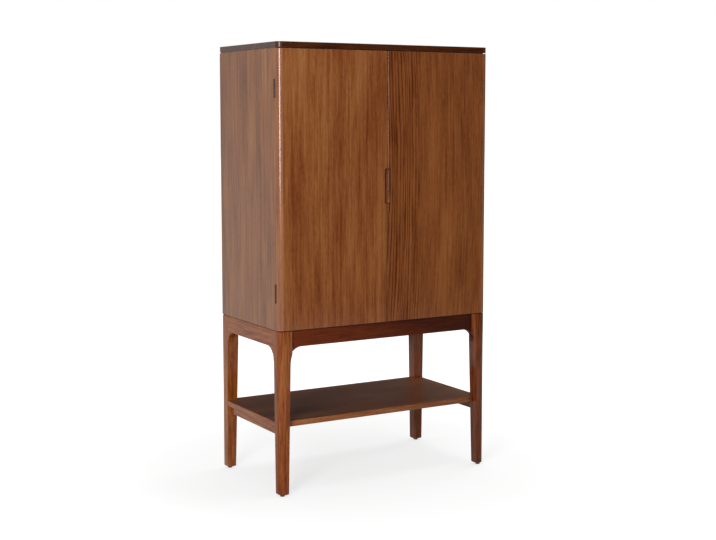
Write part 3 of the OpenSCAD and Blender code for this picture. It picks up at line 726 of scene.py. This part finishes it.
@dataclass
class Studio:
    """A white floor, soft lamps and the camera at the photograph's angle."""

    lens: float = 65.022
    camera_place: Triple = (-2.31381, -3.95709, 1.26787)
    camera_yaw: float = 0.53194
    camera_dip: float = 5.79
    camera_rise: float = -0.035
    floor_size: float = 60.0
    floor_drop: float = 0.2 * MM
    floor_grey: float = 0.35
    floor_glow: float = 0.7
    far_glow: float = 1.0
    glow_reach: Pair = (0.6, 1.6)
    world_fill: float = 0.4
    flag_glow: float = 0.05

    def build(self) -> None:
        """Set up the camera, the white room and the lamps."""
        self._camera()
        self._world()
        self._floor()
        self._lamp("key", size=(1.3, 1.9), watts=130, place=(-3.2, -3.0, 1.75), target=(-0.4, -0.2, 1.2))
        self._lamp("overhead", size=(2.4, 1.4), watts=42, place=(0.4, 0.1, 3.5), target=(0.0, -0.1, 0.5))
        self._lamp("right_fill", size=(1.6, 1.8), watts=28, place=(3.4, 0.9, 1.3), target=(0.4, 0.1, 0.9))
        self._flag("front_flag", size=(2.8, 3.2), place=(1.35, -2.7, 1.2), target=(0.0, -0.2, 1.0))
        self._flag("rear_flag", size=(4.0, 1.9), place=(1.0, 1.9, 0.95), target=(1.0, 0.2, 0.95))
        self._flag("right_flag", size=(3.2, 3.2), place=(2.9, 0.3, 1.2), target=(0.2, 0.0, 1.0))
        bpy.context.scene.view_settings.view_transform = "Standard"

    def _camera(self) -> None:
        """Stand the camera at the photograph's angle, with a little lens shift."""
        camera = bpy.data.objects.new("camera", bpy.data.cameras.new("camera"))
        bpy.context.scene.collection.objects.link(camera)
        camera.location = self.camera_place
        camera.rotation_euler = (math.radians(90 - self.camera_dip), 0, -self.camera_yaw)
        camera.data.lens = self.lens
        camera.data.shift_y = self.camera_rise
        bpy.context.scene.camera = camera

    def _seen_rays(self, tree: Tree) -> Socket:
        """Tell the rays that show the background from those that light the object.

        Args:
            tree: The tree that gets the nodes.

        Returns:
            1 for camera, glossy and transmission rays, and 0 for others.
        """
        path = add(tree, "ShaderNodeLightPath")
        seen = add(tree, "ShaderNodeMath", {0: path["Is Camera Ray"], 1: path["Is Glossy Ray"]}, operation="MAXIMUM")[0]
        return add(tree, "ShaderNodeMath", {0: seen, 1: path["Is Transmission Ray"]}, operation="MAXIMUM")[0]

    def _world(self) -> None:
        """Make the room white to look at and dimmer as a lamp."""
        world = bpy.data.worlds.new("white_room")
        world.use_nodes = True
        tree = world.node_tree
        tree.nodes.clear()
        strength = add(tree, "ShaderNodeMath", {
            0: self._seen_rays(tree), 1: 1 - self.world_fill, 2: self.world_fill}, operation="MULTIPLY_ADD")[0]
        room = add(tree, "ShaderNodeBackground", {"Color": WHITE, "Strength": strength})
        add(tree, "ShaderNodeOutputWorld", {0: room[0]})
        bpy.context.scene.world = world

    def _floor(self) -> None:
        """Lay a pale floor that keeps the shadow and runs into the white room."""
        bpy.ops.object.select_all(action="DESELECT")
        bpy.ops.mesh.primitive_plane_add(size=self.floor_size, location=(0, 0, -self.floor_drop))
        floor = bpy.context.active_object
        floor.name = "floor"
        material, tree = fresh_material("matt_white_floor")
        grey = self.floor_grey
        paint = add(tree, "ShaderNodeBsdfDiffuse", {"Color": (grey, grey, grey, 1)})[0]
        spot = add(tree, "ShaderNodeTexCoord")["Object"]
        away = add(tree, "ShaderNodeVectorMath", {0: spot}, operation="LENGTH")["Value"]
        pool = add(tree, "ShaderNodeMapRange", {
            0: away, 1: self.glow_reach[0], 2: self.glow_reach[1], 3: self.floor_glow, 4: self.far_glow,
        }, interpolation_type="SMOOTHSTEP")[0]
        glow_strength = add(tree, "ShaderNodeMath", {0: self._seen_rays(tree), 1: pool}, operation="MULTIPLY")[0]
        glow = add(tree, "ShaderNodeEmission", {"Color": WHITE, "Strength": glow_strength})[0]
        both = add(tree, "ShaderNodeAddShader", {0: paint, 1: glow})[0]
        add(tree, "ShaderNodeOutputMaterial", {0: both})
        floor.data.materials.append(material)

    def _aim(self, obj: bpy.types.Object, place: Point, target: Point) -> None:
        """Put a lamp or a flag at a place and turn it to a target."""
        obj.location = place
        obj.rotation_euler = (Vector(target) - Vector(place)).to_track_quat("-Z", "Y").to_euler()

    def _lamp(self, name: str, size: Pair, watts: float, place: Point, target: Point) -> None:
        """Hang a softbox.

        Args:
            name: The lamp's name.
            size: Its width and height.
            watts: Its power.
            place: Where it hangs.
            target: What it is turned to.
        """
        data = bpy.data.lights.new(name, "AREA")
        data.shape, data.energy = "RECTANGLE", watts
        data.size, data.size_y = size
        lamp = bpy.data.objects.new(name, data)
        bpy.context.scene.collection.objects.link(lamp)
        lamp.visible_camera = False
        self._aim(lamp, place, target)

    def _flag(self, name: str, size: Pair, place: Point, target: Point) -> None:
        """Stand a dark studio flag that shows only in the lacquer's reflections.

        Args:
            name: The flag's name.
            size: Its width and height.
            place: Where it stands.
            target: What it is turned to.
        """
        bpy.ops.object.select_all(action="DESELECT")
        bpy.ops.mesh.primitive_plane_add(size=1)
        flag = bpy.context.active_object
        flag.name = name
        flag.scale = (*size, 1)
        self._aim(flag, place, target)
        material, tree = fresh_material(name + "_cloth")
        cloth = add(tree, "ShaderNodeEmission", {"Color": WHITE, "Strength": self.flag_glow})
        add(tree, "ShaderNodeOutputMaterial", {0: cloth[0]})
        flag.data.materials.append(material)
        flag.visible_camera = flag.visible_diffuse = flag.visible_shadow = flag.visible_transmission = False


@dataclass
class Top:
    """The top board, with its round front corners."""

    corner_radius: float = 20 * MM
    rear_radius: float = 4 * MM
    edge_radius: float = 0.8 * MM

    def build(self) -> None:
        """Model the board and dress it."""
        low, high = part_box("top_panel")
        board = Workpiece.block("top_board", low, high)
        board.round_edges(upright_at(low.y), self.corner_radius, ROUND_FACETS)
        board.round_edges(upright_at(high.y), self.rear_radius, SMALL_FACETS)
        board.ease(self.edge_radius).fit("top_wood", TOP_VENEER, "top_panel")


@dataclass
class HingeSeats:
    """The room that the hinges need in the side boards and the doors."""

    leaf_width: float = 16.1 * MM
    leaf_depth: float = 2.1 * MM
    leaf_length: float = 60.2 * MM
    barrel_room: float = 3.6 * MM
    barrel_length: float = 63.7 * MM
    pin_reach: float = 31.5 * MM

    def cutters(self, towards: int) -> list[Workpiece]:
        """Make the cutters for the two left hinges' seats.

        Args:
            towards: 1 for the side board behind the pins, -1 for the door.

        Returns:
            One cutter for each leaf and each barrel.
        """
        low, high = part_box("left_hinge_pins")
        x, y, _ = (low + high) / 2
        front, back = sorted((y, y + towards * self.leaf_depth))
        half, tools = self.leaf_length / 2, []
        for number, z in enumerate((low.z + self.pin_reach, high.z - self.pin_reach)):
            tools.append(Workpiece.block(f"leaf_cutter_{number}", (x, front, z - half),
                                         (x + self.leaf_width, back, z + half)))
            tools.append(Workpiece.rod(f"barrel_cutter_{number}", (x, y, z), self.barrel_room, self.barrel_length))
        return tools


@dataclass
class Carcass:
    """Side boards, floor, rails, back and adjustable shelves."""

    shadow_depth: float = 4 * MM
    shadow_height: float = 3 * MM
    rebate_width: float = 10 * MM
    edge_radius: float = 0.8 * MM
    back_edge: float = 0.5 * MM
    shelf_edge: float = 1.2 * MM
    hole_radius: float = 2.5 * MM
    hole_depth: float = 9.2 * MM
    hole_spare: float = 2 * MM
    hole_facets: int = 24
    hole_pitch: float = 32 * MM
    holes_each_way: int = 2
    shelf_thickness: float = 18 * MM
    pin_radius: float = 2.5 * MM
    pin_length: float = 19 * MM
    pin_in: float = 9 * MM
    pin_edge: float = 0.5 * MM
    collar_radius: float = 4 * MM
    collar_depth: float = 1.5 * MM
    collar_edge: float = 0.3 * MM

    def build(self) -> None:
        """Model the boards from the outside in."""
        self._sides()
        self._cross_boards()
        self._shelves()
        self._pins()

    def _pin_places(self) -> list[Vector]:
        """Find where the left shelf pins enter the left side board.

        Returns:
            The four places, the front ones first.
        """
        low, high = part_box("shelf_pins")
        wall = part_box("left_side_panel")[1].x
        return [Vector((wall, y, z))
                for y in (low.y + self.collar_radius, high.y - self.collar_radius)
                for z in (low.z + self.collar_radius, high.z - self.collar_radius)]

    def _sides(self) -> None:
        """Model the left side board, with its shadow lines, rebate and holes, and mirror it."""
        low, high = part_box("left_side_panel")
        inner_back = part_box("back_panel")[0].y
        top_z, foot_z = high.z - self.shadow_height, low.z + self.shadow_height
        groove_x, rebate_x = low.x + self.shadow_depth, high.x - self.rebate_width
        board = Workpiece.block("left_side_board", (low.x, low.y, foot_z), (high.x, inner_back, top_z))
        board.score(Axis.X, groove_x).score(Axis.X, rebate_x)
        board.extrude(lambda f: faces(f, Axis.Y) and f.calc_center_median().x < rebate_x, (0, high.y - inner_back, 0))
        for sign in (1, -1):
            board.extrude(lambda f: faces(f, Axis.Z, sign) and f.calc_center_median().x > groove_x,
                          (0, 0, sign * self.shadow_height))
        board.ease(self.edge_radius, lambda e: near(middle_of(e).z, low.z) or near(middle_of(e).z, high.z))
        board.carve(*HingeSeats().cutters(1), self._hole_cutter())
        board.fit_pair("side_wood", SIDE_VENEER, "left_side_panel")

    def _hole_cutter(self) -> Workpiece:
        """Join a rod for each pin hole of the left side to one cutter.

        Returns:
            The cutter.
        """
        length = self.hole_depth + self.hole_spare
        rows = range(-self.holes_each_way, self.holes_each_way + 1)
        steps = [Vector((length / 2 - self.hole_depth, 0, row * self.hole_pitch)) for row in rows]
        first, *others = [Workpiece.rod("hole", place + step, self.hole_radius, length, Axis.X, self.hole_facets)
                          for place in self._pin_places() for step in steps]
        return first.join(*others)

    def _cross_boards(self) -> None:
        """Model the floor, the rails under the top and the back."""
        for name, node in (("carcass_floor", "bottom_panel"), ("front_rail", "front_top_rail"),
                           ("rear_rail", "rear_top_rail")):
            board = Workpiece.block(name, *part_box(node)).ease(self.edge_radius)
            board.fit("inner_wood", INNER_VENEER, node)
        back = Workpiece.block("back_board", *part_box("back_panel")).ease(self.back_edge)
        back.fit("back_ply", BACK_VENEER, "back_panel")
        dress(STEEL, "back_screws", "top_screws")

    def _shelves(self) -> None:
        """Model one adjustable shelf, and copy it to the upper pins."""
        low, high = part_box("inner_shelves")
        lower = Workpiece.block("lower_adjustable_shelf", low, (high.x, high.y, low.z + self.shelf_thickness))
        lower.ease(self.shelf_edge)
        upper = lower.copied("upper_adjustable_shelf", (0, 0, high.z - low.z - self.shelf_thickness))
        for shelf in (lower, upper):
            shelf.fit("inner_wood", INNER_VENEER, "inner_shelves")

    def _pins(self) -> None:
        """Model one shelf pin with its collar, and copy it to the others' places."""
        first, *rest = self._pin_places()
        pin = Workpiece.rod("left_shelf_pin_0", first + Vector((self.pin_length / 2 - self.pin_in, 0, 0)),
                            self.pin_radius, self.pin_length, Axis.X)
        collar = Workpiece.rod("collar", first + Vector((self.collar_depth / 2, 0, 0)),
                               self.collar_radius, self.collar_depth, Axis.X)
        pin.ease(self.pin_edge).join(collar.ease(self.collar_edge))
        for piece in [pin] + [pin.copied(f"left_shelf_pin_{n}", p - first) for n, p in enumerate(rest, 1)]:
            piece.fit_pair("antique_bronze", BRONZE, "shelf_pins")


@dataclass
class Doors:
    """Two full-overlay doors that share a routed finger pull."""

    corner_radius: float = 20 * MM
    corner_facets: int = 16
    edge_radius: float = 0.7 * MM
    meeting_radius: float = 1.8 * MM
    pull_width: float = 22 * MM
    pull_height: float = 125 * MM
    pull_depth: float = 10 * MM
    pull_rise: float = 465 * MM
    pull_cove: float = 3 * MM
    pull_spare: float = 5 * MM

    def build(self) -> None:
        """Model the left door and mirror it."""
        low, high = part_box("left_door")
        door = Workpiece.block("left_door_board", low, high)
        door.round_edges(upright_at(low.y, low.x), self.corner_radius, self.corner_facets)
        door.round_edges(upright_at(low.y, high.x), self.meeting_radius, SMALL_FACETS)
        door.ease(self.edge_radius)
        door.carve(self._pull_cutter(low), *HingeSeats().cutters(-1))
        other = door.mirrored("right_door_board")
        door.fit("door_wood", LEFT_DOOR_VENEER, "left_door", body=LEFT_DOOR)
        other.fit("door_wood", RIGHT_DOOR_VENEER, "right_door", body=RIGHT_DOOR)

    def _pull_cutter(self, low: Vector) -> Workpiece:
        """A router bit's path: an upright slot with round ends and a coved floor.

        Args:
            low: The lowest corner of the left door.

        Returns:
            The cutter.
        """
        half, middle, floor_y = self.pull_width / 2, low.z + self.pull_rise, low.y + self.pull_depth
        cutter = Workpiece.block("pull_cutter", (-half, low.y - self.pull_spare, middle - self.pull_height / 2),
                                 (half, floor_y, middle + self.pull_height / 2))
        cutter.round_edges(lambda e: runs_along(e, Axis.Y), half - HAIR, ROUND_FACETS)
        cutter.round_edges(lambda e: near(middle_of(e).y, floor_y) and outer_arris(e),
                           self.pull_cove, SMALL_FACETS)
        return cutter


@dataclass
class Base:
    """Four tapered legs, arched aprons, corner blocks and glides."""

    leg_width: float = 42 * MM
    foot_width: float = 33 * MM
    taper_height: float = 450 * MM
    corner_radius: float = 20 * MM
    rear_radius: float = 4 * MM
    foot_chamfer: float = 3 * MM
    edge_radius: float = 0.8 * MM
    edge_length: float = 50 * MM
    apron_height: float = 55 * MM
    apron_thickness: float = 18 * MM
    arch_radius: float = 46 * MM
    arch_facets: int = 18
    arch_toe: float = 1 * MM
    arch_cut: float = 60 * MM
    shoulder_width: float = 11 * MM
    shoulder_facets: int = 12
    glide_radius: float = 8 * MM
    glide_height: float = 6 * MM
    glide_edge: float = 1 * MM

    def build(self) -> None:
        """Model the legs, the aprons and the glides."""
        self._legs()
        self._aprons()
        self._glides()
        dress(INNER_VENEER, "corner_blocks")
        dress(STEEL, "base_bolts")

    def _legs(self) -> None:
        """Model the two left legs and mirror them."""
        for node in ("front_left_leg", "rear_left_leg"):
            self._leg(node).fit_pair("leg_wood", FRAME_WOOD, node)

    def _leg(self, node: str) -> Workpiece:
        """Model a left leg that narrows on its inner sides below the arches.

        Args:
            node: The CAD node of the leg.

        Returns:
            The leg.
        """
        low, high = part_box(node)
        inner_x = low.x + self.leg_width
        front = low.y < 0
        outer_y, inner_y, inwards = (low.y, high.y, 1) if front else (high.y, low.y, -1)
        radius, facets = (self.corner_radius, ROUND_FACETS) if front else (self.rear_radius, SMALL_FACETS)
        taper = self.leg_width - self.foot_width
        leg = Workpiece.block(node + "_post", low, (inner_x, high.y, high.z))
        leg.score(Axis.Z, self.taper_height)
        leg.shift(lambda v: near(v.co.z, low.z) and near(v.co.x, inner_x), (-taper, 0, 0))
        leg.shift(lambda v: near(v.co.z, low.z) and near(v.co.y, inner_y), (0, -inwards * taper, 0))
        leg.round_edges(upright_at(outer_y, low.x), radius, facets)
        leg.round_edges(lambda e: outer_arris(e) and near(middle_of(e).z, low.z), self.foot_chamfer, 1)
        leg.round_edges(lambda e: outer_arris(e) and abs(e.verts[0].co.z - e.verts[1].co.z) > self.edge_length
                        and middle_of(e).z < self.taper_height, self.edge_radius, EASE_FACETS)
        leg.crease(lambda e: all(near(v.co.z, self.taper_height, 1 * MM) for v in e.verts))
        if front:
            self._add_shoulder(leg)
        return leg

    def _add_shoulder(self, leg: Workpiece) -> None:
        """Add the shoulder before the apron, through which the arch runs on.

        Args:
            leg: The left front leg.
        """
        low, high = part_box("front_left_leg")
        inner_x, arch_z = low.x + self.leg_width, high.z - self.apron_height - self.arch_radius
        apron_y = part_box("front_apron")[0].y
        shoulder = Workpiece.block("shoulder", (inner_x, low.y, arch_z), (high.x, apron_y, high.z))
        shoulder.round_edges(upright_at(low.y, high.x), self.shoulder_width - 2 * HAIR, self.shoulder_facets)
        centre = (inner_x + self.arch_toe + self.arch_radius, (low.y + apron_y) / 2, arch_z)
        shoulder.carve(Workpiece.rod("arch_cutter", centre, self.arch_radius, self.arch_cut, Axis.Y,
                                     4 * self.arch_facets))
        leg.join(shoulder)

    def _apron(self, name: str, start: Vector, length: float) -> Workpiece:
        """Model an apron along +X, with an arch at each end.

        Args:
            name: The piece's name.
            start: Its lowest front corner at the left, without the arches.
            length: Its length between the legs.

        Returns:
            The apron.
        """
        end = start + Vector((length, self.apron_thickness, self.apron_height))
        toes = (start.x + self.arch_toe, end.x - self.arch_toe)
        apron = Workpiece.block(name, start, end)
        for x in toes:
            apron.score(Axis.X, x)
        apron.extrude(lambda f: faces(f, Axis.Z, -1) and not toes[0] < f.calc_center_median().x < toes[1],
                      (0, 0, -self.arch_radius))
        apron.round_edges(lambda e: runs_along(e, Axis.Y) and near(middle_of(e).z, start.z)
                          and not e.is_convex and e.calc_face_angle(0.0) > CORNER_ANGLE,
                          self.arch_radius - 2 * HAIR, self.arch_facets)
        return apron.ease(self.edge_radius, lambda e: runs_along(e, Axis.Z) or runs_along(e, Axis.Y)
                          or near(middle_of(e).z, start.z - self.arch_radius))

    def _aprons(self) -> None:
        """Model the front apron, copy it to the rear, and model the side aprons."""
        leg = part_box("front_left_leg")
        front_low, front_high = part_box("front_apron")
        rear_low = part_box("rear_apron")[0]
        inner_x = leg[0].x + self.leg_width
        start = Vector((inner_x, front_low.y, front_high.z - self.apron_height))
        front = self._apron("front_apron_board", start, -2 * inner_x)
        rear = front.copied("rear_apron_board", (0, rear_low.y - front_low.y, 0))
        front.fit("apron_wood", APRON_STAIN_AND_PAINTED_SHADE, "front_apron")
        rear.fit("apron_wood", APRON_STAIN_AND_PAINTED_SHADE, "rear_apron")
        length = -2 * leg[1].y
        side = self._apron("left_apron_board", Vector((-length / 2, 0, start.z)), length).quarter_turn()
        low_x = min(v.co.x for v in side.obj.data.vertices)
        side.shift(lambda v: True, (leg[0].x - low_x, 0, 0))
        side.fit_pair("apron_wood", FRAME_WOOD, "left_apron")

    def _glides(self) -> None:
        """Turn one glide and copy it under the other feet."""
        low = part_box("foot_glides")[0]
        place = Vector((low.x + self.glide_radius, low.y + self.glide_radius, self.glide_height / 2))
        glide = Workpiece.rod("glide_front_left", place, self.glide_radius, self.glide_height).ease(self.glide_edge)
        glides = [glide, glide.mirrored("glide_front_right")]
        glides += [g.copied(g.obj.name.replace("front", "rear"), (0, -2 * place.y, 0)) for g in glides]
        for piece in glides:
            piece.fit("black_nylon", NYLON, "foot_glides")


@dataclass
class OpenShelf:
    """The low shelf between the legs, lipped all round, on a rail at each end."""

    notch: float = 38.1 * MM
    edge_radius: float = 1.2 * MM
    lipping: float = 3 * MM
    rail_edge: float = 0.8 * MM

    def build(self) -> None:
        """Model the shelf round the legs, its lippings and its rails."""
        low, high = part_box("lower_shelf")
        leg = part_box("front_left_leg")[0]
        waist_x, waist_y = leg.x + self.notch, leg.y + self.notch
        lip = self.lipping
        shelf = Workpiece.block("open_shelf_board", (waist_x, low.y + lip, low.z), (-waist_x, high.y - lip, high.z))
        for y in (waist_y, -waist_y):
            shelf.score(Axis.Y, y)
        for end in (-1, 1):
            shelf.extrude(lambda f: faces(f, Axis.X, end) and abs(f.calc_center_median().y) < -waist_y,
                          (end * (waist_x - low.x - lip), 0, 0))
        shelf.fit("shelf_wood", SHELF_VENEER_PAINTED_SHADE_AND_SHEEN, "lower_shelf")
        for name, y, inner in (("front", low.y, low.y + lip), ("rear", high.y, high.y - lip)):
            strip = Workpiece.block(f"shelf_lipping_{name}", (waist_x, min(y, inner), low.z),
                                    (-waist_x, max(y, inner), high.z))
            strip.ease(self.edge_radius, lambda e: near(middle_of(e).y, inner))
            strip.fit("shelf_wood", LIPPING_WOOD, "lower_shelf")
        strip = Workpiece.block("shelf_lipping_left", (low.x, waist_y, low.z), (low.x + lip, -waist_y, high.z))
        strip.ease(self.edge_radius, lambda e: near(middle_of(e).x, low.x + lip))
        strip.fit_pair("shelf_wood", FRAME_WOOD, "lower_shelf")
        rail = Workpiece.block("left_shelf_rail_board", *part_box("left_shelf_rail")).ease(self.rail_edge)
        rail.fit_pair("leg_wood", FRAME_WOOD, "left_shelf_rail")
        dress(STEEL, "shelf_rail_screws")


@dataclass
class Ironmongery:
    """Hinges, screws, magnetic catches and strike plates."""

    def build(self) -> None:
        """Dress the fittings."""
        for side in ("left", "right"):
            for part in ("carcass_leaves", "door_leaves", "hinge_pins", "carcass_screws", "door_screws"):
                dress(BRONZE, f"{side}_{part}")
            dress(STEEL, f"{side}_strike_plate", f"{side}_strike_screws")
        dress(CATCH_ABS, "catches")
        dress(FERRITE, "catch_magnets")
        dress(STEEL, "catch_screws")


def main() -> None:
    """Build the studio and the cabinet, one sub-assembly after another."""
    logging.basicConfig(level=logging.INFO, format="%(name)s: %(message)s")
    for part in (Studio(), Top(), Carcass(), Doors(), Base(), OpenShelf(), Ironmongery()):
        log.info("building %s", type(part).__name__)
        part.build()


if __name__ == "__main__":
    main()
